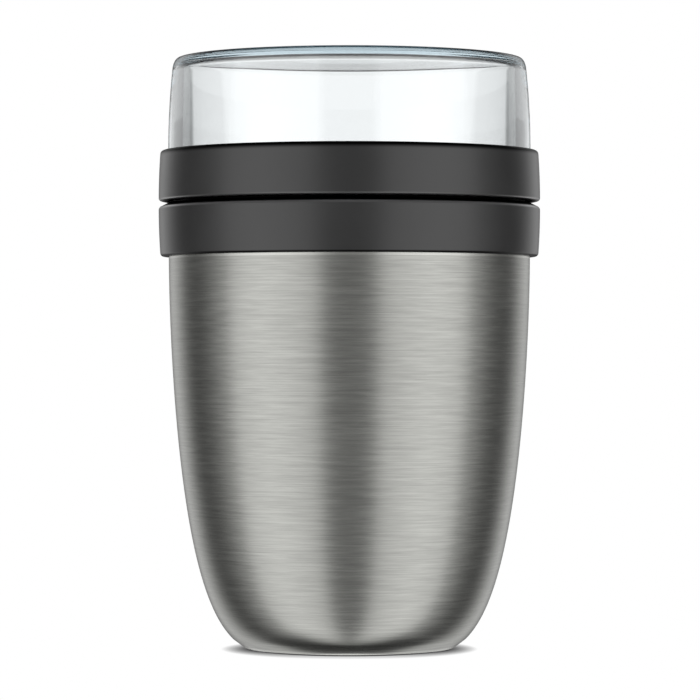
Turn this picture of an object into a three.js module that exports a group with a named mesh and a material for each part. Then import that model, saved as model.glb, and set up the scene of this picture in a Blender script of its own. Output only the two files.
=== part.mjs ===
// Insulated lunch pot: a vacuum-walled steel pot with a plastic collar, an insulated screw lid,
// and a clear cup that screws upside down into the top of the lid.
// Millimetres, +Z up. The origin is on the axis, in the plane that the pot stands on.
import * as THREE from "three";

// Driving dimensions

// Facets round the axis, and steps along the curved stretches of an outline
const FACETS = 36;
const WALL_STEPS = 8;
const SHOULDER_STEPS = 3;
const FLANK_STEPS = 3;
const CORNER_STEPS = 2;

// Steel pot: the wall's curve is radius * (1 - (drop / span) ^ curveFall) ^ (1 / curveRound)
const wallHeight = 110; // visible steel, from the standing plane to the underside of the collar
const bodyRadius = 50.65; // outer wall where it goes into the collar
const curveOvershoot = 2.7; // the curve would close on the axis this far below the bottom
const curveFall = 1.7;
const curveRound = 5.7;
const shellWall = 0.6;
const linerWall = 0.5;
const vacuumGap = 3.6; // between shell and liner, below the collar
const floorGap = 4; // between the base disc and the floor of the liner
const shoulderHeight = 3; // where the shell draws in to its neck, hidden by the collar
const neckBead = 0.45; // rolled bead that the collar snaps over
const neckBeadHeight = 2;
const shellProud = 0.4; // shell's neck above the collar's neck
const foilSheet = 0.3; // radiation foil wrapped round the liner
const foilMargin = 6; // foil stops this far below the collar and above the liner's floor

// Base of the pot
const footWidth = 2.4; // flat ring that the pot stands on
const footEdge = 0.8; // corner on the inside of that ring
const baseSheet = 0.6;
const coverRecess = 1.4; // cover above the standing plane
const baseFlange = 1.6; // turned-up edges of the cover and the base disc
const discHeight = 4.6; // underside of the base disc above the standing plane
const dimpleRadius = 6; // round recess in the base disc for the seal of the vacuum
const dimpleRise = 1.2;
const evacuationRadius = 1.2;
const beadRadius = 3.6; // bead that seals the evacuation hole
const beadThickness = 0.9;
const getterRadius = 5; // capsule that keeps the vacuum clean
const getterHeight = 2;
const getterMargin = 6; // between the capsule and the edge of the base disc

// Collar and lid rings
const ringHeight = 13.35; // flank of each ring
const ringCrown = 0.5; // radius that each ring loses towards its far edge
const ringEdge = 0.6; // rounded edges of the rings
const grooveHeight = 2.8; // V groove between the rings, at its mouth
const grooveDepth = 2.5;
const lipWidth = 0.4; // flat at the bottom of the groove
const landThickness = 2; // collar over the shell's shoulder
const neckWall = 1.75; // collar's neck round the steel neck
const neckRise = 4.6; // collar's neck above the parting plane
const threadDepth = 1.1; // room for the thread between neck and lid, and between cup and lid

// Lid
const deckThickness = 3.2; // between the two seals
const deckSkin = 2; // over the insulation
const plugClearance = 1.4; // between the plug and the liner's mouth
const plugDepth = 12;
const plugWall = 1.6;
const plugCorner = 3;
const ribWidth = 1.4; // rib under the deck that centres the plug
const ribDepth = 2.5;
const sealOverlap = 0.6; // seals past the rims that press on them
const sealProud = 0.6; // seals out of their grooves
const sealGroove = 1.1;
const sealEdge = 0.7;

// Clear cup
const cupShow = 25.6; // visible height above the lid ring
const cupRingWall = 1.8; // lid ring round the cup, at its top
const cupCrown = 1.55; // radius that the wall loses towards the top
const cupDraft = 0.5; // radius that its inside loses, so the wall is thinner at the top
const cupWall = 3.9;
const cupPlate = 2.45; // flat top
const cupEdge = 2.3; // outer edge of the top
const cupFillet = 1.2; // inside the top
const cupSink = 0.6; // full-width wall inside the lid ring
const cupRimEdge = 0.5;

// Clearances
const fitGap = 0.2; // pieces that are pressed, welded or snapped together
const seatGap = 0.25; // seals and their seats
const runningGap = 0.3; // lid and collar, and between thread and bore

// Heights from the standing plane up
const collarTop = wallHeight + ringHeight;
const partingPlane = collarTop + grooveHeight / 2;
const collarLand = partingPlane - runningGap / 2;
const lidLand = partingPlane + runningGap / 2;
const lidBottom = collarTop + grooveHeight;
const lidTop = lidBottom + ringHeight;
const cupTop = lidTop + cupShow;
const shoulderTop = collarLand - landThickness;
const neckTop = collarLand + neckRise;
const shellTop = neckTop + shellProud;
const rimUnder = shellTop + fitGap;
const rimTop = rimUnder + linerWall;
const lidSealBottom = rimTop + seatGap;
const deckUnder = lidSealBottom + sealProud;
const deckTop = deckUnder + deckThickness;
const cupSealTop = deckTop + sealProud;
const cupRim = cupSealTop + seatGap;
const discTop = discHeight + baseSheet;
const linerFloor = discTop + floorGap;

// Radii from the axis out
const linerRadius = bodyRadius - shellWall - vacuumGap;
const mouthRadius = linerRadius - linerWall;
const steelNeck = linerRadius + fitGap + shellWall;
const collarBore = steelNeck + fitGap;
const neckRadius = collarBore + neckWall;
const lidBore = neckRadius + threadDepth + runningGap;
const grooveRadius = lidBore + lipWidth;
const ringRadius = grooveRadius + grooveDepth;
const plugRadius = mouthRadius - plugClearance;
const lidSealOuter = steelNeck + sealOverlap;
const cupBore = ringRadius - ringCrown - cupRingWall;
const cupRadius = cupBore - fitGap;
const cupInner = cupRadius - cupWall;
const cupSkirt = cupBore - runningGap - threadDepth;
const cupSealInner = cupInner - sealOverlap;
const cupSealOuter = cupSkirt + sealOverlap;
const footRadius = curveRadius(bodyRadius, wallHeight, 0, 0);
const footInner = footRadius - footWidth;
const baseRadius = footInner - fitGap;

// Outlines: points of (radius, height), anticlockwise round the material

// Radius at a height of the pot's curve, for a wall that ends at the given floor.
function curveRadius(radius, top, floor, height) {
  const span = top - floor + curveOvershoot;
  return radius * (1 - ((top - height) / span) ** curveFall) ** (1 / curveRound);
}

// The pot's curve from the floor up, with closer points where it bends most.
function curvePath(radius, top, floor) {
  return Array.from({ length: WALL_STEPS + 1 }, (_, i) => {
    const height = floor + (top - floor) * (i / WALL_STEPS) ** 2;
    return new THREE.Vector2(curveRadius(radius, top, floor, height), height);
  });
}

// A flank that is widest at its first height and loses the crown at its last.
function flank(radius, crown, from, to) {
  return Array.from({ length: FLANK_STEPS + 1 }, (_, i) => {
    const share = i / FLANK_STEPS;
    return [radius - crown * share ** 2, from + (to - from) * share];
  });
}

// Turns corners of [radius, height, cut] into points, each cut corner rounded over that length.
function outline(corners) {
  const point = ([radius, height]) => new THREE.Vector2(radius, height);
  return corners.flatMap((corner, i) => {
    const cut = corner[2];
    if (!cut) return [point(corner)];
    const middle = point(corner);
    const ends = [corners.at(i - 1), corners[(i + 1) % corners.length]].map((neighbour) =>
      point(neighbour).sub(middle).setLength(cut).add(middle),
    );
    return new THREE.QuadraticBezierCurve(ends[0], middle, ends[1]).getPoints(CORNER_STEPS);
  });
}

// Moves an open path to its left by a distance, with mitred corners.
function offsetPath(path, distance) {
  const normals = path.slice(1).map((end, i) => {
    const along = end.clone().sub(path[i]).normalize();
    return new THREE.Vector2(-along.y, along.x);
  });
  return path.map((point, i) => {
    const before = normals[Math.max(i - 1, 0)];
    const after = normals[Math.min(i, normals.length - 1)];
    const mitre = before.clone().add(after).divideScalar(1 + before.dot(after));
    return point.clone().addScaledVector(mitre, distance);
  });
}

// Closed outline of a pressed sheet whose outer face follows the path.
function sheet(path, thickness) {
  return [...path, ...offsetPath(path, thickness).reverse()];
}

// Solid of revolution about Z.
function revolve(points, facets = FACETS) {
  const closed = points[0].x > 0 ? [...points, points[0]] : points;
  return new THREE.LatheGeometry(closed, facets).rotateX(Math.PI / 2);
}

// Materials

const brushedSteel = new THREE.MeshStandardMaterial({ color: 0xb6b7b2, roughness: 0.35, metalness: 1 });
const satinSteel = new THREE.MeshStandardMaterial({ color: 0xc6c7c5, roughness: 0.25, metalness: 1 });
const charcoal = new THREE.MeshStandardMaterial({ color: 0x3d3d3e, roughness: 0.5, metalness: 0 });
const silicone = new THREE.MeshStandardMaterial({ color: 0x9a9d9e, roughness: 0.6, metalness: 0 });
const foam = new THREE.MeshStandardMaterial({ color: 0xefeee8, roughness: 0.9, metalness: 0 });
const copper = new THREE.MeshStandardMaterial({ color: 0xb9775a, roughness: 0.3, metalness: 1 });
const solder = new THREE.MeshStandardMaterial({ color: 0x6f6b63, roughness: 0.4, metalness: 0.5 });
const clear = new THREE.MeshStandardMaterial({
  color: 0xeaf2f3,
  roughness: 0.05,
  metalness: 0,
  transparent: true,
  opacity: 0.35,
});

function piece(name, geometry, material) {
  const mesh = new THREE.Mesh(geometry, material);
  mesh.name = name;
  return mesh;
}

// Steel pot

// Outer face of the shell inside the collar: the straight wall, the shoulder, then the neck and its bead.
function collarSeat() {
  const shoulder = new THREE.CubicBezierCurve(
    new THREE.Vector2(bodyRadius, shoulderTop - shoulderHeight),
    new THREE.Vector2(bodyRadius, shoulderTop - shoulderHeight / 2),
    new THREE.Vector2(steelNeck, shoulderTop - shoulderHeight / 2),
    new THREE.Vector2(steelNeck, shoulderTop),
  );
  const beadMiddle = (shoulderTop + neckTop) / 2;
  const bead = outline([
    [steelNeck, beadMiddle - neckBeadHeight / 2],
    [steelNeck + neckBead, beadMiddle],
    [steelNeck, beadMiddle + neckBeadHeight / 2],
    [steelNeck, neckTop],
  ]);
  return [new THREE.Vector2(bodyRadius, wallHeight), ...shoulder.getPoints(SHOULDER_STEPS), ...bead];
}

// Brushed outer wall: one pressing from the foot's inner wall, over the foot and up to the neck.
function outerShell() {
  const foot = outline([
    [footInner, discHeight + baseFlange],
    [footInner, 0, footEdge],
    [footRadius, 0],
  ]).slice(0, -1);
  const wall = curvePath(bodyRadius, wallHeight, 0).slice(0, -1);
  const top = new THREE.Vector2(steelNeck, shellTop);
  return revolve(sheet([...foot, ...wall, ...collarSeat(), top], shellWall));
}

// Food vessel: follows the shell's curve inside the vacuum, and its rim turns out over the shell's neck.
function innerLiner() {
  const floor = new THREE.Vector2(0, linerFloor);
  const wall = curvePath(linerRadius, wallHeight, linerFloor);
  const rim = outline([
    [linerRadius, wallHeight],
    [linerRadius, rimUnder, fitGap],
    [steelNeck, rimUnder],
  ]).slice(1);
  return revolve(sheet([floor, ...wall, ...rim], linerWall));
}

// Foil wrapped round the liner, clear of both steel walls.
function radiationFoil() {
  const inside = offsetPath(curvePath(linerRadius, wallHeight, linerFloor), -fitGap).filter(
    ({ y }) => y > linerFloor + foilMargin && y < wallHeight - foilMargin,
  );
  return revolve([...offsetPath(inside, -foilSheet), ...inside.reverse()]);
}

// Disc that closes the vacuum, with a recess round the evacuation hole.
function baseDisc() {
  const path = outline([
    [evacuationRadius, discHeight + dimpleRise],
    [dimpleRadius - dimpleRise, discHeight + dimpleRise],
    [dimpleRadius, discHeight],
    [baseRadius, discHeight, footEdge],
    [baseRadius, discHeight + baseFlange],
  ]);
  return revolve(sheet(path, baseSheet));
}

// Bead of glass solder in the recess, with a stub in the evacuation hole.
function sealOffBead() {
  const seat = discHeight + dimpleRise - fitGap;
  const stub = evacuationRadius - fitGap;
  return revolve(
    outline([
      [0, seat - beadThickness],
      [beadRadius, seat - beadThickness, beadThickness / 2],
      [beadRadius, seat],
      [stub, seat],
      [stub, seat + baseSheet],
      [0, seat + baseSheet],
    ]),
  );
}

// Getter capsule on the vacuum side of the base disc.
function vacuumGetter() {
  const seat = discTop + fitGap;
  return revolve(
    outline([
      [0, seat],
      [getterRadius, seat],
      [getterRadius, seat + getterHeight, getterHeight / 4],
      [0, seat + getterHeight],
    ]),
    FACETS / 3,
  );
}

// Cover under the base disc, with a flange that is pressed into the foot.
function baseCover() {
  const path = outline([
    [0, coverRecess],
    [baseRadius, coverRecess, footEdge],
    [baseRadius, coverRecess + baseFlange],
  ]);
  return revolve(sheet(path, baseSheet));
}

// Lower ring, with the neck that carries the lid's thread. Its bore follows the shell that it snaps on to.
function collar() {
  const bore = offsetPath(collarSeat(), -fitGap);
  const side = flank(ringRadius, ringCrown, collarTop, wallHeight).reverse();
  const [bottomRadius] = side.shift();
  const [topRadius] = side.pop();
  const outside = outline([
    [bodyRadius + fitGap, wallHeight],
    [bottomRadius, wallHeight, ringEdge],
    ...side,
    [topRadius, collarTop, ringEdge],
    [grooveRadius, collarLand],
    [neckRadius, collarLand],
    [neckRadius, neckTop, ringEdge],
    [collarBore, neckTop],
  ]);
  return revolve([...outside.slice(1, -1), ...bore.reverse()]);
}

// Lid

// Upper ring and deck in one moulding, with grooves for the two seals and a rib that centres the plug.
function lidRing() {
  const ribOuter = plugRadius - plugWall - fitGap;
  const ribInner = ribOuter - ribWidth;
  const side = flank(ringRadius, ringCrown, lidBottom, lidTop);
  const [bottomRadius] = side.shift();
  const [topRadius] = side.pop();
  return revolve(
    outline([
      [0, deckTop - deckSkin],
      [ribInner, deckTop - deckSkin],
      [ribInner, deckUnder - ribDepth],
      [ribOuter, deckUnder - ribDepth],
      [ribOuter, deckUnder],
      [plugRadius, deckUnder],
      [plugRadius, deckUnder + sealGroove],
      [lidSealOuter + fitGap, deckUnder + sealGroove],
      [lidSealOuter + fitGap, deckUnder],
      [lidBore, deckUnder],
      [lidBore, lidLand],
      [grooveRadius, lidLand],
      [bottomRadius, lidBottom, ringEdge],
      ...side,
      [topRadius, lidTop, ringEdge],
      [cupBore, lidTop],
      [cupBore, deckTop],
      [cupSealOuter + fitGap, deckTop],
      [cupSealOuter + fitGap, deckTop - sealGroove],
      [cupSealInner - fitGap, deckTop - sealGroove],
      [cupSealInner - fitGap, deckTop],
      [0, deckTop],
    ]),
  );
}

// Dish under the deck that fills the pot's mouth and holds the insulation.
function lidPlug() {
  const bottom = deckUnder - plugDepth;
  const top = deckUnder - fitGap;
  const inner = plugRadius - plugWall;
  return revolve(
    outline([
      [0, bottom],
      [plugRadius, bottom, plugCorner],
      [plugRadius, top],
      [inner, top],
      [inner, bottom + plugWall, plugCorner - plugWall],
      [0, bottom + plugWall],
    ]),
  );
}

// Rigid disc of insulation inside the plug.
function lidInsulation() {
  const bottom = deckUnder - plugDepth + plugWall + fitGap;
  const top = deckTop - deckSkin - fitGap;
  const radius = plugRadius - plugWall - ribWidth - 2 * fitGap;
  return revolve(
    outline([
      [0, bottom],
      [radius, bottom, plugCorner - plugWall],
      [radius, top],
      [0, top],
    ]),
  );
}

// Silicone ring round the top of the plug, which presses on the steel rim.
function lidSeal() {
  const inner = plugRadius + fitGap;
  const top = deckUnder + sealGroove - fitGap;
  return revolve(
    outline([
      [inner, top],
      [inner, lidSealBottom, sealEdge],
      [lidSealOuter, lidSealBottom, sealEdge],
      [lidSealOuter, top],
    ]),
  );
}

// Silicone ring in the deck, which the rim of the cup presses on.
function cupSeal() {
  const bottom = deckTop - sealGroove + fitGap;
  return revolve(
    outline([
      [cupSealInner, bottom],
      [cupSealOuter, bottom],
      [cupSealOuter, cupSealTop, sealEdge],
      [cupSealInner, cupSealTop, sealEdge],
    ]),
  );
}

// Clear cup

// Thick moulded cup, mouth down, with a narrower skirt for the thread inside the lid ring.
function clearCup() {
  const ceiling = cupTop - cupPlate;
  const outside = flank(cupRadius, cupCrown, lidTop, cupTop);
  const inside = flank(cupInner, cupDraft, lidTop, ceiling).reverse();
  const [outsideTop] = outside.pop();
  const [insideTop] = inside.shift();
  return revolve(
    outline([
      [0, ceiling],
      [insideTop, ceiling, cupFillet],
      ...inside,
      [cupInner, cupRim, cupRimEdge],
      [cupSkirt, cupRim, cupRimEdge],
      [cupSkirt, lidTop - cupSink],
      [cupRadius, lidTop - cupSink],
      ...outside,
      [outsideTop, cupTop, cupEdge],
      [0, cupTop],
    ]),
  );
}

// Assembly

const pot = new THREE.Group();
const getter = piece("vacuum_getter", vacuumGetter(), satinSteel);
getter.position.x = baseRadius - getterMargin - getterRadius;
pot.add(
  piece("outer_shell", outerShell(), brushedSteel),
  piece("base_disc", baseDisc(), satinSteel),
  piece("seal_off_bead", sealOffBead(), solder),
  getter,
  piece("base_cover", baseCover(), satinSteel),
  piece("radiation_foil", radiationFoil(), copper),
  piece("inner_liner", innerLiner(), satinSteel),
  piece("collar", collar(), charcoal),
);

const lid = new THREE.Group();
lid.add(
  piece("lid_ring", lidRing(), charcoal),
  piece("lid_plug", lidPlug(), charcoal),
  piece("lid_insulation", lidInsulation(), foam),
  piece("lid_seal", lidSeal(), silicone),
);

const cup = new THREE.Group();
cup.add(piece("cup", clearCup(), clear), piece("cup_seal", cupSeal(), silicone));

const lunchPot = new THREE.Group();
lunchPot.add(pot, lid, cup);

export default lunchPot;
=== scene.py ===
"""Looks of the insulated lunch pot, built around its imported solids. Metres, +Z up."""
import math

import bmesh
import bpy
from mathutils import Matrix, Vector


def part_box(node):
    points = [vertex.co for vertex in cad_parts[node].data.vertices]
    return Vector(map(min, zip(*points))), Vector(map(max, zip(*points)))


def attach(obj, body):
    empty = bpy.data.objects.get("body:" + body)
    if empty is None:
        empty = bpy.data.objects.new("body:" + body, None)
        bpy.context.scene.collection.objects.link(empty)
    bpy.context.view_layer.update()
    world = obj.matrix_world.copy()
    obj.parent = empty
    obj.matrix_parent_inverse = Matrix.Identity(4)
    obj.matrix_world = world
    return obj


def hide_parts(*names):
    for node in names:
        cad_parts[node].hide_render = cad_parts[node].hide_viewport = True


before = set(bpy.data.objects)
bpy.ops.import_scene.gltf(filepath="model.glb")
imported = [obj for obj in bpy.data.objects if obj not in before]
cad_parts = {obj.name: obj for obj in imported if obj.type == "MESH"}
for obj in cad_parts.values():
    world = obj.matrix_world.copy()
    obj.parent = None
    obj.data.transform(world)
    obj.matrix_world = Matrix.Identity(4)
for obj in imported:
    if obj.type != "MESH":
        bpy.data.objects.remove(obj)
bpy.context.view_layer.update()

# Outer shell: the visible wall of the vacuum pot, drawn from stainless steel sheet in one piece.
# It curves in to a flat foot ring, goes up into the collar as a neck, and is brushed round the axis.
# The roll under the foot is painted near-black steel, a painted shadow, with a painted highlight of paler
# steel in a line above it and another under the collar.
mm = 0.001
SEGMENTS = 256
CORNER_SEGMENTS = 6
CORNER_HOLD = 1.6  # the point that holds the flat beside a corner lies this many roundings from it
MERGE_DISTANCE = 0.0001 * mm
SHARP_ANGLE = math.radians(32)
NOISE_LOW = 0.3  # most of a noise pattern lies between these two
NOISE_HIGH = 0.7

wall_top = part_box("collar")[0].z
wall_inset = 0.1 * mm  # the seen wall is this much slimmer than its solid
wall_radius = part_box("outer_shell")[1].x - wall_inset
shell_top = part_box("outer_shell")[1].z
steel_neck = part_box("inner_liner")[1].x
shell_sheet = 0.6 * mm
curve_overshoot = 2.7 * mm  # the curve would close on the axis this far below the pot's floor
curve_fall = 1.7
curve_round = 5.7
curve_points = 44
fit_gap = 0.2 * mm
foot_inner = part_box("base_cover")[1].x + fit_gap
foot_wall_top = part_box("base_disc")[1].z
foot_edge = 0.3 * mm
foot_lip = 1.2 * mm
lip_points = 7  # points of the curve that the rounding of the foot's outer edge takes up
# The painted shadow reaches this high up the foot; the painted highlight bands reach to the next height, and
# this far under the collar.
painted_shadow_height = 0.62 * mm
lower_highlight_top = 1.25 * mm
collar_highlight_depth = 0.95 * mm
shoulder_low = wall_top + 9.6 * mm
shoulder_high = wall_top + 12.6 * mm
shoulder_rounding = 1.2 * mm
steel_colour = (0.41, 0.413, 0.39)
# Painted shadow and painted highlight colours for the steel near the foot and under the collar.
painted_shadow_colour = (0.02, 0.02, 0.0195)
painted_highlight_colour = (0.58, 0.583, 0.552)
BRUSHED, PAINTED_SHADOW, PAINTED_HIGHLIGHT = range(3)  # places of the finishes in the wall's list of materials
brush_along = 90  # lines in a metre round the axis, and across the brushing
brush_across = 1100
coarse_detail = 4
fine_detail = 2
fine_along = 0.6  # how the fine lines compare with the coarse ones, in each direction
fine_across = 4
line_low = 0.36
line_high = 0.64
line_strength = 0.25
line_depth = 0.02 * mm
roughness_change = 0.08


def pot_curve(radius, floor):
    """Points of (radius, height) up the tapered wall of a vessel, closer together where it bends most."""
    span = wall_top - floor + curve_overshoot
    points = []
    for step in range(curve_points + 1):
        height = floor + (wall_top - floor) * (step / curve_points) ** 2
        fall = ((wall_top - height) / span) ** curve_fall
        points.append((radius * (1 - fall) ** (1 / curve_round), height))
    return points


def link(name, work):
    """Turns a bmesh into a smooth-shaded object with its sharp corners kept."""
    for face in work.faces:
        face.smooth = True
    for edge in work.edges:
        edge.smooth = edge.calc_face_angle(0) < SHARP_ANGLE
    mesh = bpy.data.meshes.new(name)
    work.to_mesh(mesh)
    work.free()
    piece = bpy.data.objects.new(name, mesh)
    bpy.context.scene.collection.objects.link(piece)
    return piece


def round_corner(work, point, rounding):
    """Rounds one corner of an outline, with a point just past each end that holds the flat beside it."""
    for edge in list(point.link_edges):
        length = edge.calc_length()
        hold = min(CORNER_HOLD * rounding, (length + rounding) / 2)
        bmesh.utils.edge_split(edge, point, hold / length)
    bmesh.ops.bevel(
        work,
        geom=[point],
        offset=rounding,
        affect="VERTICES",
        segments=CORNER_SEGMENTS,
        profile=0.5,
        material=-1,
    )


def turned(name, corners, sheet=0, segments=SEGMENTS, open_up=False):
    """A round piece, spun about Z from corners of (radius, height) or (radius, height, rounding).

    The corners go round the section of a solid, or along the outer face of a sheet of that thickness.
    The faces of a deep vessel that is open at the top come out facing inwards, so open_up turns them round.
    """
    work = bmesh.new()
    points = [work.verts.new((corner[0], 0, corner[1])) for corner in corners]
    for start, end in zip(points, points[1:]):
        work.edges.new((start, end))
    if not sheet and corners[0][0] > 0:
        work.edges.new((points[-1], points[0]))
    for point, corner in zip(points, corners):
        if len(corner) == 3:
            round_corner(work, point, corner[2])
    bmesh.ops.spin(
        work,
        geom=work.verts[:] + work.edges[:],
        cent=(0, 0, 0),
        axis=(0, 0, 1),
        angle=2 * math.pi,
        steps=segments,
        use_merge=True,
    )
    bmesh.ops.remove_doubles(work, verts=work.verts, dist=MERGE_DISTANCE)
    bmesh.ops.recalc_face_normals(work, faces=work.faces)
    if open_up:
        bmesh.ops.reverse_faces(work, faces=work.faces)
    if sheet:
        bmesh.ops.solidify(work, geom=work.faces[:], thickness=sheet)
    return link(name, work)


def material_named(name):
    """A new material, with its node tree and its Principled shader."""
    material = bpy.data.materials.new(name)
    material.use_nodes = True
    return material, material.node_tree, material.node_tree.nodes["Principled BSDF"]


def set_inputs(tree, target, inputs):
    """Sets inputs of a shader node, each by its value or from the socket that feeds it."""
    for name, value in inputs.items():
        if isinstance(value, bpy.types.NodeSocket):
            tree.links.new(value, target.inputs[name])
        else:
            target.inputs[name].default_value = value


def node(tree, kind, inputs, **settings):
    """Adds a shader node with these inputs and settings."""
    made = tree.nodes.new("ShaderNode" + kind)
    for name, value in settings.items():
        setattr(made, name, value)
    set_inputs(tree, made, inputs)
    return made


def ramp(tree, factor, stops):
    """A colour ramp through stops of (position, colour)."""
    made = node(tree, "ValToRGB", {"Fac": factor})
    elements = made.color_ramp.elements
    while len(elements) < len(stops):
        elements.new(1)
    for element, (position, colour) in zip(elements, stops):
        element.position = position
        element.color = (*colour, 1)
    return made.outputs["Color"]


def sum_up(tree, operation, first, second=0.0):
    """One step of arithmetic between sockets or numbers."""
    return node(tree, "Math", {0: first, 1: second}, operation=operation).outputs["Value"]


def spread(tree, factor, low, high):
    """Maps the middle of a noise pattern to the range from low to high."""
    inputs = {"Value": factor, "From Min": NOISE_LOW, "From Max": NOISE_HIGH, "To Min": low, "To Max": high}
    return node(tree, "MapRange", inputs).outputs["Result"]


def bump(tree, height, strength, depth):
    """Normals of a surface that a pattern raises by up to this depth."""
    return node(tree, "Bump", {"Height": height, "Strength": strength, "Distance": depth}).outputs["Normal"]


def object_place(tree):
    """Where a point lies on its own object."""
    return node(tree, "TexCoord", {}).outputs["Object"]


def turned_lines(tree, along, across, detail):
    """Noise drawn out round the axis, as a brush or a lathe leaves it on walls and on flats.

    Along and across are how many features there are in a metre, round the axis and across the lines.
    """
    place = object_place(tree)
    flat = node(tree, "VectorMath", {0: place, 1: (1, 1, 0)}, operation="MULTIPLY").outputs["Vector"]
    radius = node(tree, "VectorMath", {0: flat}, operation="LENGTH").outputs["Value"]
    axes = node(tree, "SeparateXYZ", {"Vector": place}).outputs
    travel = sum_up(tree, "ADD", axes["Z"], radius)
    lines = node(tree, "CombineXYZ", {"X": axes["X"], "Y": axes["Y"], "Z": travel}).outputs["Vector"]
    scaled = node(tree, "Mapping", {"Vector": lines, "Scale": (along, along, across)}).outputs["Vector"]
    inputs = {"Vector": scaled, "Scale": 1, "Detail": detail, "Roughness": 0.6}
    return node(tree, "TexNoise", inputs).outputs["Fac"]


def steel(name, colour, roughness, along, across, contrast, anisotropy):
    """Stainless steel with fine lines round the axis, which shade it and stretch its highlights."""
    material, tree, shader = material_named(name)
    coarse = turned_lines(tree, along, across, coarse_detail)
    fine = turned_lines(tree, along * fine_along, across * fine_across, fine_detail)
    lines = sum_up(tree, "MULTIPLY", sum_up(tree, "ADD", coarse, fine), 0.5)
    dark = tuple(channel * (1 - contrast) for channel in colour)
    light = tuple(min(channel * (1 + contrast), 1) for channel in colour)
    smoother = roughness * (1 - roughness_change)
    rougher = roughness * (1 + roughness_change)
    set_inputs(tree, shader, {
        "Base Color": ramp(tree, lines, [(line_low, dark), (line_high, light)]),
        "Roughness": spread(tree, coarse, smoother, rougher),
        "Metallic": 1.0,
        "Anisotropic": anisotropy,
        "Tangent": node(tree, "Tangent", {}, direction_type="RADIAL", axis="Z").outputs["Tangent"],
        "Normal": bump(tree, lines, line_strength, line_depth),
    })
    return material


wall = pot_curve(wall_radius, 0)
shell = turned(
    "shell_wall",
    [
        (foot_inner, foot_wall_top),
        (foot_inner, 0, foot_edge),
        (*wall[0], foot_lip),
        *wall[lip_points:-1],
        (wall_radius, wall_top - collar_highlight_depth),
        (wall_radius, shoulder_low, shoulder_rounding),
        (steel_neck, shoulder_high, shoulder_rounding),
        (steel_neck, shell_top),
    ],
    sheet=shell_sheet,
)
for name, colour, roughness, contrast, anisotropy in (
    ("brushed_steel", steel_colour, 0.22, 0.14, 0.6),
    ("steel_painted_shadow", painted_shadow_colour, 0.6, 0.1, 0.3),
    ("steel_painted_highlight", painted_highlight_colour, 0.22, 0.1, 0.6),
):
    finish = steel(name, colour, roughness, brush_along, brush_across, contrast, anisotropy)
    shell.data.materials.append(finish)
# Faces low on the foot take the painted shadow; faces just above it and just under the collar take the
# painted highlight.
for face in shell.data.polygons:
    height = face.center.z
    if height < painted_shadow_height:
        face.material_index = PAINTED_SHADOW
    elif height < lower_highlight_top or height > wall_top - collar_highlight_depth:
        face.material_index = PAINTED_HIGHLIGHT
    else:
        face.material_index = BRUSHED
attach(shell, "pot")
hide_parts("outer_shell")

# Inner liner: the steel vessel that holds the food, spun and polished to a satin finish.
# Its rim turns out over the shell's neck, where the two walls are welded.
liner_sheet = 0.5 * mm
liner_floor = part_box("inner_liner")[0].z
rim_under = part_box("inner_liner")[1].z - liner_sheet
liner_radius = steel_neck - shell_sheet - fit_gap
rim_rounding = 0.35 * mm
satin_colour = (0.47, 0.47, 0.46)

liner = turned(
    "food_liner",
    [
        (0, liner_floor),
        *pot_curve(liner_radius, liner_floor),
        (liner_radius, rim_under, rim_rounding),
        (steel_neck, rim_under),
    ],
    sheet=liner_sheet,
    open_up=True,
)
liner.data.materials.append(
    steel("satin_liner", satin_colour, roughness=0.26, along=50, across=700, contrast=0.07, anisotropy=0.5)
)
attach(liner, "pot")
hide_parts("inner_liner")

# Radiation foil: thin copper foil wrapped round the liner in the vacuum, which throws heat back.
# It is creased by hand as it goes on, and is painted darker along each crease as shade.
copper_colour = (0.72, 0.39, 0.25)
copper_crease_shade = (0.6, 0.3, 0.18)
crease_scale = 260  # creases in a metre
crease_width = 0.2
crease_depth = 0.3 * mm


def dress(name, material):
    """Gives a solid that is shown as it is its finished material."""
    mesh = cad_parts[name].data
    mesh.materials.clear()
    mesh.materials.append(material)


copper, tree, shader = material_named("copper_foil")
inputs = {"Vector": object_place(tree), "Scale": crease_scale}
creases = node(tree, "TexVoronoi", inputs, feature="DISTANCE_TO_EDGE").outputs["Distance"]
set_inputs(tree, shader, {
    "Base Color": ramp(tree, creases, [(0, copper_crease_shade), (crease_width, copper_colour)]),
    "Metallic": 1.0,
    "Roughness": 0.22,
    "Normal": bump(tree, creases, strength=0.6, depth=crease_depth),
})
dress("radiation_foil", copper)

# Base disc and getter: the steel disc that closes the vacuum, with the capsule that keeps it clean.
# Both are as rolled, under the cover and never seen in use.
rolled_colour = (0.42, 0.42, 0.413)

rolled = steel(
    "rolled_steel", rolled_colour, roughness=0.34, along=40, across=500, contrast=0.08, anisotropy=0.3
)
for name in ("base_disc", "vacuum_getter"):
    dress(name, rolled)

# Seal-off bead: a drop of dark glass solder, melted over the evacuation hole once the air is out.
# It is smooth on top, with small bubbles inside.
solder_dark = (0.12, 0.11, 0.1)
solder_light = (0.24, 0.22, 0.2)
bubble_scale = 2200  # bubbles in a metre
bubble_low = 0.35
bubble_high = 0.65


def noise(tree, scale, detail):
    """Even noise all over a piece. The scale is how many features there are in a metre."""
    inputs = {"Vector": object_place(tree), "Scale": scale, "Detail": detail}
    return node(tree, "TexNoise", inputs).outputs["Fac"]


solder, tree, shader = material_named("glass_solder")
bubbles = noise(tree, bubble_scale, detail=3)
set_inputs(tree, shader, {
    "Base Color": ramp(tree, bubbles, [(bubble_low, solder_dark), (bubble_high, solder_light)]),
    "Roughness": spread(tree, bubbles, low=0.12, high=0.3),
    "IOR": 1.7,
})
dress("seal_off_bead", solder)

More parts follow.
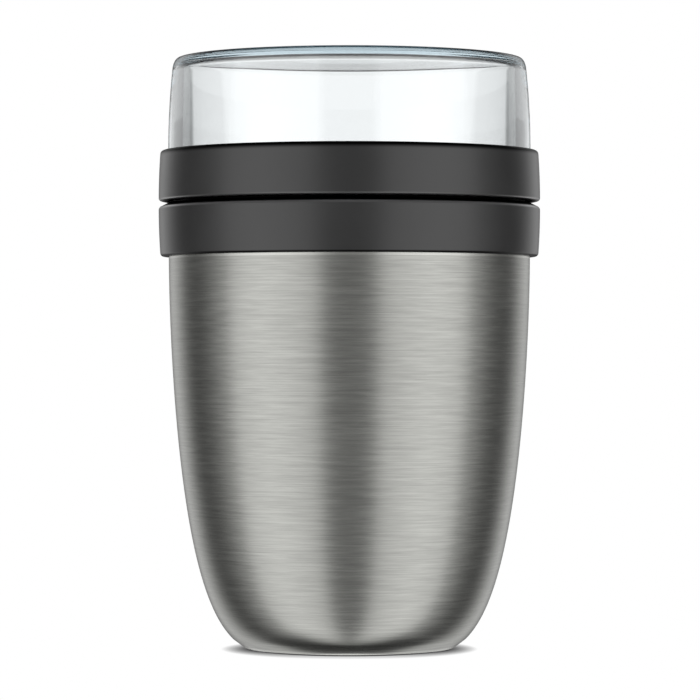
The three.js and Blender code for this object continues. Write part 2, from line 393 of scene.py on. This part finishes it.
# Base cover: the steel plate seen under the pot, pressed into the foot by its turned-up flange.
# A shallow stamped panel stiffens it.
cover_sheet = 0.6 * mm
cover_low, cover_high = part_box("base_cover")
panel_radius = 17 * mm
panel_rise = 0.5 * mm
panel_slope = 1.2 * mm
panel_rounding = 0.5 * mm

cover = turned(
    "foot_cover",
    [
        (0, cover_low.z + panel_rise),
        (panel_radius, cover_low.z + panel_rise, panel_rounding),
        (panel_radius + panel_slope, cover_low.z, panel_rounding),
        (cover_high.x, cover_low.z, foot_edge),
        (cover_high.x, cover_high.z),
    ],
    sheet=cover_sheet,
)
cover.data.materials.append(
    steel("satin_cover", satin_colour, roughness=0.3, along=30, across=1100, contrast=0.09, anisotropy=0.5)
)
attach(cover, "pot")
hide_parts("base_cover")

# Collar: the lower dark ring, moulded in plastic and snapped over the shell's shoulder.
# Its flank is slightly crowned, its top slopes into the groove, and its neck carries the lid's thread.
ring_inset = 0.12 * mm  # the seen rings are this much slimmer than their solids
ring_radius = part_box("collar")[1].x - ring_inset
ring_crown = 0.5 * mm
ring_edge = 0.6 * mm
ring_bevel = 0.5 * mm
bevel_edge = 0.25 * mm
ring_lap = 0.25 * mm  # the collar comes down over the steel
ring_height = 13.35 * mm
flank_points = 12
groove_height = 2.8 * mm
groove_depth = 2.5 * mm
groove_radius = ring_radius - groove_depth
land_gap = 0.3 * mm
collar_bottom = wall_top - ring_lap
collar_top = wall_top + ring_height
parting_plane = collar_top + groove_height / 2
collar_land = parting_plane - land_gap / 2
neck_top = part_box("collar")[1].z
neck_wall = 1.95 * mm  # with the gap to the steel
neck_radius = steel_neck + neck_wall
neck_edge = 0.5 * mm
charcoal_dark = (0.0195, 0.0195, 0.0198)
charcoal_light = (0.0245, 0.0245, 0.0248)
charcoal_shine = 0.67
grain_scale = 4200  # features in a metre of the mould's grain, and of the plastic's flow
flow_scale = 70
grain_depth = 0.02 * mm
# Painted highlight: the ring is painted paler along its edge by the groove.
edge_highlight_colour = (0.067, 0.067, 0.068)
edge_highlight_width = 0.6 * mm
# Painted shade: the plastic is painted black, with little shine, towards each free edge and in the groove.
painted_shade_colour = (0.001, 0.001, 0.001)
painted_shade_shine = 0.03
collar_shade = 0.75 * mm  # the plastic is left black towards each free edge, and in the groove
groove_opening = 2.02 * mm
groove_lip = 0.2 * mm
groove_shade = groove_opening / 2 - groove_lip
groove_middle = collar_top + groove_opening / 2
free_shade_core = 0.35  # share of each shade that is fully black
groove_shade_core = 0.7


def flank(start, end, bevel):
    """Points along a ring's crowned side, from its rounded edge at the groove to its bevelled free edge."""
    points = []
    for step in range(flank_points + 1):
        share = step / flank_points
        points.append((ring_radius - ring_crown * share**2, start + (end - start) * share))
    inner = points[-1][0]
    slope = math.copysign(bevel, end - start)
    return [
        (*points[0], ring_edge),
        *points[1:-1],
        (inner, end - slope, bevel_edge),
        (inner - bevel, end, bevel_edge),
    ]


def ease(tree, value, start, end):
    """Goes smoothly from nothing to one as the value goes from start to end."""
    limits = {"Value": value, "From Min": start, "From Max": end}
    return node(tree, "MapRange", limits, interpolation_type="SMOOTHSTEP").outputs["Result"]


def near_height(tree, height, reach, solid=0.0):
    """One at a height on the object and as far as solid from it, going to nothing at the reach."""
    level = node(tree, "SeparateXYZ", {"Vector": object_place(tree)}).outputs["Z"]
    away = sum_up(tree, "ABSOLUTE", sum_up(tree, "SUBTRACT", level, height))
    return ease(tree, away, reach, solid)


def mix(tree, share, first, second):
    """Goes from the first level to the second as the share goes from nothing to one."""
    return node(tree, "Mix", {0: share, 2: first, 3: second}).outputs[0]


def mix_colour(tree, share, first, second):
    """Goes from the first colour, a socket, to the second as the share goes from nothing to one."""
    return node(tree, "Mix", {0: share, 6: first, 7: (*second, 1)}, data_type="RGBA").outputs[2]


def moulded(name, highlight_edge_height=None, free_height=None, shade=None):
    """Matt charcoal plastic with the fine grain of its mould.

    A ring of it is painted paler at its edge by the groove, a painted highlight with a clear coat there, and
    is painted black as shade in the groove and at its free edge.
    """
    material, tree, shader = material_named(name)
    grain = noise(tree, grain_scale, detail=3)
    flow = noise(tree, flow_scale, detail=4)
    colour = ramp(tree, flow, [(NOISE_LOW, charcoal_dark), (NOISE_HIGH, charcoal_light)])
    shine = charcoal_shine
    # The paler edge is a painted highlight, with a clear coat; the black is painted shade.
    if highlight_edge_height:
        edge_highlight = near_height(tree, highlight_edge_height, edge_highlight_width)
        free = near_height(tree, free_height, shade, free_shade_core * shade)
        groove = near_height(tree, groove_middle, groove_shade, groove_shade_core * groove_shade)
        painted_shade = sum_up(tree, "MAXIMUM", free, groove)
        colour = mix_colour(tree, edge_highlight, colour, edge_highlight_colour)
        colour = mix_colour(tree, painted_shade, colour, painted_shade_colour)
        shine = mix(tree, painted_shade, shine, painted_shade_shine)
        set_inputs(tree, shader, {"Coat Weight": edge_highlight, "Coat Roughness": 0.3})
    set_inputs(tree, shader, {
        "Base Color": colour,
        "Roughness": spread(tree, flow, low=0.28, high=0.31),
        "IOR": 1.53,
        "Specular IOR Level": shine,
        "Normal": bump(tree, grain, strength=0.25, depth=grain_depth),
    })
    return material


charcoal = moulded("charcoal_plastic")
collar = turned(
    "collar_ring",
    [
        (wall_radius + fit_gap, collar_bottom),
        *reversed(flank(collar_top, collar_bottom, ring_bevel)),
        (groove_radius, collar_land),
        (neck_radius, collar_land),
        (neck_radius, neck_top, neck_edge),
        (steel_neck + fit_gap, neck_top),
        (steel_neck + fit_gap, shoulder_high),
        (wall_radius + fit_gap, shoulder_low),
    ],
)
# The collar's edge by the groove takes the painted highlight, and its lower edge takes the painted shade.
collar.data.materials.append(moulded("charcoal_collar", collar_top, collar_bottom, collar_shade))
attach(collar, "pot")
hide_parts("collar")

# Collar thread: two ribs on the neck that the lid screws on to, half a turn apart.
# Each is moulded with the collar, climbs to the right and fades out at both ends.
thread_lead = 8 * mm
thread_depth = 1.1 * mm
thread_starts = 2
thread_root = 0.25 * mm  # ribs reach this far into the wall that they stand on
thread_fade = math.radians(14)
thread_step = math.radians(2)
collar_rib_height = 126.6 * mm
collar_rib_width = 1.5 * mm
collar_rib_sweep = math.radians(76)
crest_share = 0.45


def thread(name, radius, depth, width, start, sweep, height):
    """Ribs of a thread on a wall of the given radius. A negative depth puts them inside a bore."""
    work = bmesh.new()
    steps = round(sweep / thread_step)
    root = radius - math.copysign(thread_root, depth)
    section = [
        (root, -width / 2),
        (radius, -width / 2),
        (radius + depth, -width * crest_share / 2),
        (radius + depth, width * crest_share / 2),
        (radius, width / 2),
        (root, width / 2),
    ]
    for count in range(thread_starts):
        angle = start + count * 2 * math.pi / thread_starts
        cosine = math.cos(angle)
        sine = math.sin(angle)
        rib = [work.verts.new((out * cosine, out * sine, height + up)) for out, up in section]
        sides = [work.edges.new((rib[i - 1], rib[i])) for i in range(len(rib))]
        bmesh.ops.spin(
            work,
            geom=rib + sides,
            cent=(0, 0, 0),
            axis=(0, 0, 1),
            dvec=(0, 0, thread_lead * sweep / (2 * math.pi) / steps),
            angle=sweep,
            steps=steps,
        )
    bmesh.ops.holes_fill(work, edges=work.edges, sides=len(section))
    for point in work.verts:
        out = point.co.xy.length
        if abs(out - radius - depth) < thread_root:
            turn = (math.atan2(point.co.y, point.co.x) - start) % (2 * math.pi / thread_starts)
            end = min(turn, sweep - turn)
            share = min(max(end / thread_fade, 0), 1)
            point.co.xy *= (radius + depth * share) / out
    bmesh.ops.recalc_face_normals(work, faces=work.faces)
    return link(name, work)


collar_thread = thread(
    "collar_thread", neck_radius, thread_depth, collar_rib_width, 0, collar_rib_sweep, collar_rib_height
)
collar_thread.data.materials.append(charcoal)
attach(collar_thread, "pot")

# Lid ring: the upper dark ring and the deck across it, in one moulding.
# It has a bore for the collar's neck below, a bore for the cup above, and a groove for each seal.
# A rib under the deck stands inside the plug.
lid_low, lid_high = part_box("lid_ring")
lid_land = parting_plane + land_gap / 2
lid_bottom = collar_top + groove_opening
lid_top = lid_high.z
lid_drop = 0.25 * mm  # the seen rim lies this far below the top of its solid
lid_rim = lid_top - lid_drop
lid_shade = 1.8 * mm
lid_bore = neck_radius + thread_depth + land_gap
lid_edge = 0.3 * mm
lid_bevel = 0.5 * mm
cup_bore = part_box("cup")[1].x + fit_gap
cup_seal_proud = 0.6 * mm
deck_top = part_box("cup_seal")[1].z - cup_seal_proud
deck_height = 3.2 * mm
deck_skin = 2 * mm
deck_under = deck_top - deck_height
deck_skin_under = deck_top - deck_skin
seal_groove = 1.1 * mm
plug_wall = 1.6 * mm
plug_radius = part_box("lid_plug")[1].x
plug_inner = plug_radius - plug_wall
rib_wall = 1.4 * mm
rib_outer = plug_inner - fit_gap
rib_inner = rib_outer - rib_wall
rib_rise = 3.8 * mm  # from the lid's lowest face to the rib's end
rib_end = lid_low.z + rib_rise
rim_seal_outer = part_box("lid_seal")[1].x
cup_seal_width = 3.9 * mm
cup_seal_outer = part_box("cup_seal")[1].x
cup_seal_inner = cup_seal_outer - cup_seal_width
gate_radius = 1.6 * mm
gate_depth = 0.25 * mm

lid = turned(
    "lid_moulding",
    [
        (0, deck_skin_under),
        (rib_inner, deck_skin_under),
        (rib_inner, rib_end),
        (rib_outer, rib_end),
        (rib_outer, deck_under),
        (plug_radius, deck_under),
        (plug_radius, deck_under + seal_groove),
        (rim_seal_outer + fit_gap, deck_under + seal_groove),
        (rim_seal_outer + fit_gap, deck_under, lid_edge),
        (lid_bore, deck_under, lid_edge),
        (lid_bore, lid_land, lid_edge / 2),
        (groove_radius, lid_land),
        *flank(lid_bottom, lid_rim, lid_bevel),
        (cup_bore, lid_rim, lid_edge),
        (cup_bore, deck_top, lid_edge),
        (cup_seal_outer + fit_gap, deck_top),
        (cup_seal_outer + fit_gap, deck_top - seal_groove),
        (cup_seal_inner - fit_gap, deck_top - seal_groove),
        (cup_seal_inner - fit_gap, deck_top, lid_edge),
        (gate_radius + gate_depth, deck_top),
        (gate_radius, deck_top - gate_depth),
        (0, deck_top - gate_depth),
    ],
)
# The lid's edge by the groove takes the painted highlight, and its rim takes the painted shade.
lid.data.materials.append(moulded("charcoal_lid", lid_bottom, lid_rim, lid_shade))
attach(lid, "lid")
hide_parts("lid_ring")

# Lid threads: two ribs in the lower bore that run under the collar's ribs,
# and two in the upper bore that run over the cup's. They are moulded with the lid.
lid_rib_start = math.radians(31)
lid_rib_sweep = math.radians(110)
lid_rib_width = 1.3 * mm
lid_rib_drop = 1.6 * mm
cup_rib_height = 135.95 * mm
cup_rib_sweep = math.radians(46)
cup_rib_width = 1.2 * mm
lid_cup_rib_width = 1.1 * mm
lid_cup_rib_rise = 1.3 * mm
lid_rib_height = collar_rib_height - lid_rib_drop + thread_lead * lid_rib_start / (2 * math.pi)

lower_thread = thread(
    "lid_lower_thread", lid_bore, -thread_depth, lid_rib_width, lid_rib_start, lid_rib_sweep, lid_rib_height
)
upper_thread = thread(
    "lid_upper_thread",
    cup_bore,
    -thread_depth,
    lid_cup_rib_width,
    0,
    cup_rib_sweep,
    cup_rib_height + lid_cup_rib_rise,
)
for ribs in (lower_thread, upper_thread):
    ribs.data.materials.append(charcoal)
    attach(ribs, "lid")

# Lid plug: the dish welded under the deck, which fills the pot's mouth and holds the insulation.
# Its underside has a shallow recessed panel.
plug_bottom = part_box("lid_plug")[0].z
plug_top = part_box("lid_plug")[1].z
plug_corner = 3 * mm
plug_panel = 34 * mm
plug_panel_rise = 0.5 * mm
plug_panel_slope = 1 * mm
plug_panel_rounding = 0.4 * mm

plug = turned(
    "plug_dish",
    [
        (0, plug_bottom + plug_panel_rise),
        (plug_panel, plug_bottom + plug_panel_rise, plug_panel_rounding),
        (plug_panel + plug_panel_slope, plug_bottom, plug_panel_rounding),
        (plug_radius, plug_bottom, plug_corner),
        (plug_radius, plug_top),
        (plug_inner, plug_top),
        (plug_inner, plug_bottom + plug_wall, plug_corner - plug_wall),
        (0, plug_bottom + plug_wall),
    ],
)
plug.data.materials.append(charcoal)
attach(plug, "lid")
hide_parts("lid_plug")

# Lid insulation: a rigid disc of pale foam inside the plug, out of sight.
# Its cut faces show the closed cells.
foam_pale = (0.86, 0.85, 0.8)
foam_shade = (0.72, 0.7, 0.64)
foam_scale = 900  # cells in a metre
cell_middle = 0.5
cell_depth = 0.3 * mm

foam, tree, shader = material_named("insulation_foam")
inputs = {"Vector": object_place(tree), "Scale": foam_scale}
cells = node(tree, "TexVoronoi", inputs).outputs["Distance"]
set_inputs(tree, shader, {
    "Base Color": ramp(tree, cells, [(0, foam_shade), (cell_middle, foam_pale)]),
    "Roughness": 0.9,
    "Normal": bump(tree, cells, strength=0.5, depth=cell_depth),
})
dress("lid_insulation", foam)

# Seals: two grey silicone rings, one round the top of the plug that presses on the steel rim,
# and one in the deck that the cup's rim presses on. Each is rounded where it seals.
seal_edge = 0.6 * mm
silicone_dark = (0.3, 0.305, 0.31)
silicone_light = (0.38, 0.385, 0.39)
bloom_scale = 160  # features in a metre of the pale bloom on the rubber

silicone, tree, shader = material_named("silicone")
bloom = noise(tree, bloom_scale, detail=5)
set_inputs(tree, shader, {
    "Base Color": ramp(tree, bloom, [(NOISE_LOW, silicone_dark), (NOISE_HIGH, silicone_light)]),
    "Roughness": spread(tree, bloom, low=0.45, high=0.6),
    "Subsurface Weight": 0.15,
    "Subsurface Scale": 1 * mm,
})


def seal_ring(name, node_name, groove, lip):
    """A seal with a square foot at one height and two rounded edges at the other."""
    inner, outer = groove
    foot, crown = lip
    ring = turned(
        name, [(inner, foot), (outer, foot), (outer, crown, seal_edge), (inner, crown, seal_edge)]
    )
    ring.data.materials.append(silicone)
    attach(ring, node_name)
    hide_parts(node_name)


rim_seal_low, rim_seal_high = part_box("lid_seal")
cup_seal_low, cup_seal_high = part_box("cup_seal")
seal_ring("rim_seal", "lid_seal", (plug_radius + fit_gap, rim_seal_outer), (rim_seal_high.z, rim_seal_low.z))
seal_ring("cup_rim_seal", "cup_seal", (cup_seal_inner, cup_seal_outer), (cup_seal_low.z, cup_seal_high.z))

# Cup: a thick cup of clear plastic, mouth down, polished inside and out.
# Below the lid ring it steps in to a skirt with a thread, and its rim presses on the seal.
CUP_SEGMENTS = 320
cup_low, cup_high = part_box("cup")
cup_inset = 0.3 * mm  # the seen cup is this much slimmer than its solid
cup_radius = cup_high.x - cup_inset
cup_crown = 1.5 * mm  # radius that the wall loses on its way up, outside and then inside
cup_draft = 0.54 * mm
cup_wall = 4 * mm
cup_plate = 2.45 * mm
cup_edge = (1.4 * mm, 2.86 * mm)  # reach of a corner along the flat and down the wall
cup_fillet = (0.73 * mm, 1.64 * mm)
corner_points = 16
corner_hold = 0.3 * mm
# Painted shade: a darker band of the clear plastic round the top stands in for the dark line that the light
# leaves there.
painted_line_height = 0.6 * mm  # height of the darker line round the top
painted_line_colour = (0.05, 0.06, 0.06)
flat_margin = 0.002 * mm  # faces that lie closer to the top belong to the flat
cup_dome = 1 * mm  # the ceiling rises this far to its middle
dome_points = 10
cup_sink = 0.6 * mm
cup_rim_edge = 0.5 * mm
cup_inner = cup_radius - cup_wall
cup_skirt = cup_bore - land_gap - thread_depth
cup_ceiling = cup_high.z - cup_plate
clear_colour = (0.988, 0.998, 1)
clear_absorption = (0.1, 0.5, 0.68)
clear_density = 4.6
clear_index = 1.56
handling_scale = 90  # features in a metre of the haze
CLEAR, PAINTED_LINE = range(2)  # places of the two plastics in the cup's list of materials


def clear_plastic(name, colour):
    """Polished clear plastic that is faintly blue in the thick, with the haze of handling on it."""
    material, tree, shader = material_named(name)
    handling = noise(tree, handling_scale, detail=6)
    absorption = node(tree, "VolumeAbsorption", {"Color": (*clear_absorption, 1), "Density": clear_density})
    tree.links.new(absorption.outputs["Volume"], tree.nodes["Material Output"].inputs["Volume"])
    set_inputs(tree, shader, {
        "Base Color": (*colour, 1),
        "Roughness": spread(tree, handling, low=0.0, high=0.015),
        "IOR": clear_index,
        "Transmission Weight": 1.0,
    })
    return material


def cup_side(radius, lean, top, corner):
    """Points up a wall that leans in above the lid ring, and round its oval corner on to the flat."""
    run, rise = corner
    height = top - lid_top
    straight = 1 - rise / height
    points = []
    for step in range(flank_points + 1):
        share = straight * step / flank_points
        points.append((radius - lean * share**2, lid_top + height * share))
    bend = points[-1][0]
    slant = 2 * lean * straight / height * rise
    for step in range(1, corner_points + 1):
        angle = math.pi / 2 * step / corner_points
        across = bend - slant * math.sin(angle) - run * (1 - math.cos(angle))
        points.append((across, top - rise * (1 - math.sin(angle))))
    return points


cup_outside = cup_side(cup_radius, cup_crown, cup_high.z, cup_edge)
cup_inside = cup_side(cup_inner, cup_draft, cup_ceiling, cup_fillet)
dome = []
for step in range(dome_points):
    share = step / dome_points
    dome.append((cup_inside[-1][0] * share, cup_ceiling + cup_dome * (1 - share**2)))

clear = clear_plastic("clear_plastic", clear_colour)
cup = turned(
    "clear_cup",
    [
        *dome,
        *reversed(cup_inside),
        (cup_inner, cup_low.z, cup_rim_edge),
        (cup_skirt, cup_low.z, cup_rim_edge),
        (cup_skirt, lid_top - cup_sink),
        (cup_radius, lid_top - cup_sink),
        *cup_outside,
        (cup_outside[-1][0] - corner_hold, cup_high.z),
        (0, cup_high.z),
    ],
    segments=CUP_SEGMENTS,
)
cup_thread = thread("cup_thread", cup_skirt, thread_depth, cup_rib_width, 0, cup_rib_sweep, cup_rib_height)
for clear_piece in (cup, cup_thread):
    clear_piece.data.materials.append(clear)
    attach(clear_piece, "cup")
# The band just under the top takes the dark clear plastic, a painted dark line.
cup.data.materials.append(clear_plastic("clear_painted_dark_line", painted_line_colour))
for face in cup.data.polygons:
    below_top = cup_high.z - face.center.z
    face.material_index = PAINTED_LINE if flat_margin < below_top < painted_line_height else CLEAR
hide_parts("cup")

# Floor: a plain white table top, which is no part of the pot.
# It carries a painted shadow where the foot stands, drawn from how open the space round each point is, and
# is left out of the steel's reflections.
floor_radius = 8  # metres
floor_segments = 64
floor_drop = 0.1 * mm
floor_colour = (0.54, 0.54, 0.54, 1)
shadow_reach = 4.5 * mm
shadow_samples = 24
# The painted shadow is kept weaker in front of and behind the foot than at its sides.
front_shadow = 0.35  # the light from the front and the back leaves most of the shadow at the sides

table, tree, shader = material_named("white_table")
tree.nodes.remove(shader)
ray = node(tree, "LightPath", {}).outputs
seen = sum_up(tree, "MAXIMUM", ray["Is Camera Ray"], ray["Is Transmission Ray"])
contact = node(tree, "AmbientOcclusion", {"Distance": shadow_reach}, samples=shadow_samples).outputs["AO"]
shade = node(tree, "BsdfDiffuse", {"Color": floor_colour}).outputs["BSDF"]
place = object_place(tree)
away = node(tree, "VectorMath", {0: place}, operation="LENGTH").outputs["Value"]
across = sum_up(tree, "DIVIDE", node(tree, "SeparateXYZ", {"Vector": place}).outputs["X"], away)
aside = sum_up(tree, "MULTIPLY", across, across)
shadow = mix(tree, mix(tree, aside, front_shadow, 1.0), 1.0, contact)
white = node(tree, "Emission", {"Strength": shadow}).outputs["Emission"]
both = node(tree, "MixShader", {0: seen, 1: shade, 2: white})
tree.links.new(both.outputs["Shader"], tree.nodes["Material Output"].inputs["Surface"])

work = bmesh.new()
bmesh.ops.create_circle(work, cap_ends=True, radius=floor_radius, segments=floor_segments)
bmesh.ops.translate(work, verts=work.verts, vec=(0, 0, -floor_drop))
floor = link("floor", work)
floor.data.materials.append(table)
floor.visible_glossy = False

# Studio light: soft panels all round, bright to either side of the camera and dim straight behind it,
# with dark gaps beside the white background and dark cards in front of it that outline the pot.
# The world shader gives the light from each direction, by degrees from the camera's side.
# The clear cup shows a white backdrop behind it, between grey walls, and a dark ceiling.
front_light = [
    (0, 0.23),
    (15.5, 0.26),
    (16.1, 0.5),
    (19.6, 0.62),
    (20.2, 1.0),
    (37, 1.17),
    (55, 1.34),
    (75, 1.17),
    (81, 1.06),
    (82, 0.58),
    (90, 0.43),
]
panel_light = [
    *front_light,
    (104, 0.15),
    (118, 0.09),
    (128, 0.22),
    (138, 0.6),
    (148, 0.8),
    (154, 0.83),
    (160, 0.58),
]
card_light = [
    *panel_light,
    (165, 0.3),
    (171, 0.1),
]
table_light = [
    *panel_light,
    (166.5, 0.9),
    (168.5, 1.44),
    (176.3, 1.52),
]
backdrop_light = [
    *front_light,
    (120, 0.3),
    (163.6, 0.3),
    (165.2, 0.89),
    (173.3, 0.9),
    (173.7, 1.03),
]
card_end = (-0.25, -0.45)  # heights of a direction between which the cards give way to the table
ceiling_light = 0.13
ceiling_start = (0.3, 0.65)
top_light = 1.2  # what the ceiling gives to matt faces, which don't mirror it
rear_ceiling_light = 0.085
rear_ceiling_start = (0.232, 0.287)
under_light = 0.06  # the dark patch under the pot, from straight down to behind its foot
under_front = (math.radians(-20), math.radians(8))
under_back = (math.radians(29), math.radians(21))
under_side = (0.6, 0.4)
under_spread = 0.25

world = bpy.data.worlds.new("studio")
bpy.context.scene.world = world
world.use_nodes = True
tree = world.node_tree
direction = node(tree, "TexCoord", {}).outputs["Generated"]
axes = node(tree, "SeparateXYZ", {"Vector": direction}).outputs
toward = sum_up(tree, "MULTIPLY", axes["Y"], -1)
azimuth = sum_up(tree, "ABSOLUTE", sum_up(tree, "ARCTAN2", axes["X"], toward))
from_front = sum_up(tree, "DIVIDE", azimuth, math.pi)


def light_round(tree, from_front, levels):
    """Light by the angle from the camera's side, through pairs of degrees and level."""
    return ramp(tree, from_front, [(angle / 180, (level, level, level)) for angle, level in levels])


def fade(tree, factor, start, end, first, second):
    """Goes smoothly from the first level to the second as the factor goes from start to end."""
    return mix(tree, ease(tree, factor, start, end), first, second)


cards = light_round(tree, from_front, card_light)
table_top = light_round(tree, from_front, table_light)
backdrop = light_round(tree, from_front, backdrop_light)
ray = node(tree, "LightPath", {}).outputs
overhead = mix(tree, ray["Is Glossy Ray"], top_light, ceiling_light)
panels = fade(tree, axes["Z"], *card_end, cards, table_top)
topped = fade(tree, axes["Z"], *ceiling_start, panels, overhead)
tilt = sum_up(tree, "ARCTAN2", axes["Y"], sum_up(tree, "MULTIPLY", axes["Z"], -1))
aside = sum_up(tree, "ABSOLUTE", axes["X"])
turned_out = sum_up(tree, "MULTIPLY", aside, under_spread)
underneath = fade(tree, tilt, *under_front, 0.0, 1.0)
underneath = fade(tree, sum_up(tree, "SUBTRACT", tilt, turned_out), *under_back, 0.0, underneath)
underneath = fade(tree, aside, *under_side, 0.0, underneath)
around = mix(tree, underneath, topped, under_light)
clear_view = fade(tree, axes["Z"], *rear_ceiling_start, backdrop, rear_ceiling_light)
on_object = mix(tree, ray["Is Transmission Ray"], around, clear_view)
studio_light = mix(tree, ray["Is Camera Ray"], on_object, 1.0)
tree.links.new(studio_light, tree.nodes["Background"].inputs["Color"])

# Light bounces on inside the thick clear plastic many times before it leaves.
clear_bounces = 40
bpy.context.scene.cycles.max_bounces = clear_bounces
bpy.context.scene.cycles.glossy_bounces = clear_bounces
bpy.context.scene.cycles.transmission_bounces = clear_bounces

# Camera: level with the upper part of the steel wall and square on, as in the photograph.
sensor_width = 36  # in millimetres, as the lens length is
lens_length = 190.3
eye_distance = 1037 * mm
eye_height = 83.6 * mm
eye_side = 0.18 * mm

camera_data = bpy.data.cameras.new("camera")
camera_data.lens = lens_length
camera_data.sensor_width = sensor_width
camera = bpy.data.objects.new("camera", camera_data)
camera.location = (eye_side, -eye_distance, eye_height)
camera.rotation_euler = (math.pi / 2, 0, 0)
bpy.context.scene.collection.objects.link(camera)
bpy.context.scene.camera = camera
bpy.context.scene.view_settings.view_transform = "Standard"
